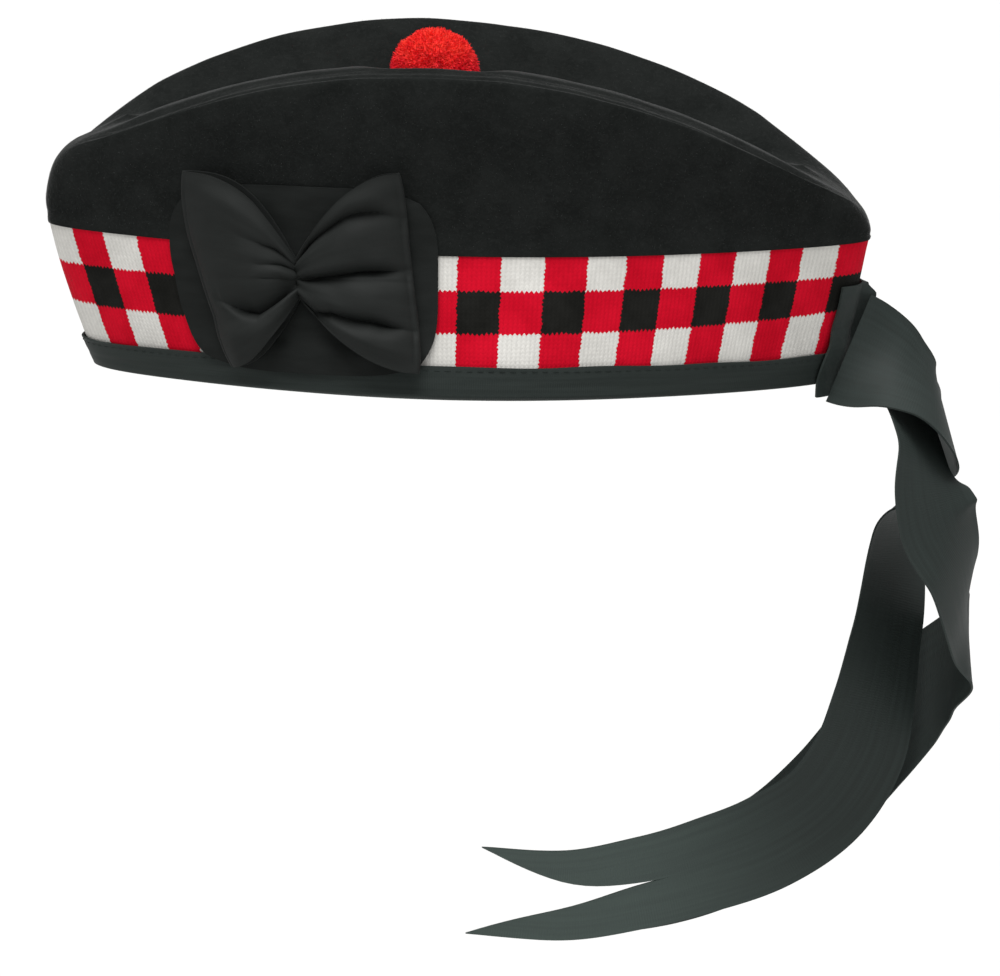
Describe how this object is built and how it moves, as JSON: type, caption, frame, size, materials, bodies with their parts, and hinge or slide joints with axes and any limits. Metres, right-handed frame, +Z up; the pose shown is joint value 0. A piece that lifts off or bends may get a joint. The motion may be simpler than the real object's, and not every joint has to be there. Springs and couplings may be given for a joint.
{
  "type": "glengarry cap",
  "caption": "Boat-shaped felted wool cap with a cleft crown, diced band, bound rim, side bow, woollen pompom and forked ribbon tails, open below for a head.",
  "frame": {"origin": "middle of the rim's opening, at the height of the rim's two ends", "axes": "+Z up through the crown, +X towards the back of the cap, -Y towards its left side with the bow"},
  "size_m": [0.2994, 0.1402, 0.3008],
  "materials": {
    "black_felt": "felted wool",
    "diced_felt": "knitted and felted wool in red, white and black dice",
    "black_ribbon": "ribbed ribbon",
    "black_silk": "dull silk",
    "red_wool": "clipped wool"
  },
  "bodies": {
    "root": {"crown": "black_felt", "diced_band": "diced_felt", "binding": "black_ribbon", "bow_backing": "black_silk", "bow": "black_silk", "toorie": "red_wool", "back_tab": "black_ribbon", "tail_near": "black_ribbon", "tail_far": "black_ribbon"}
  },
  "joints": []
}
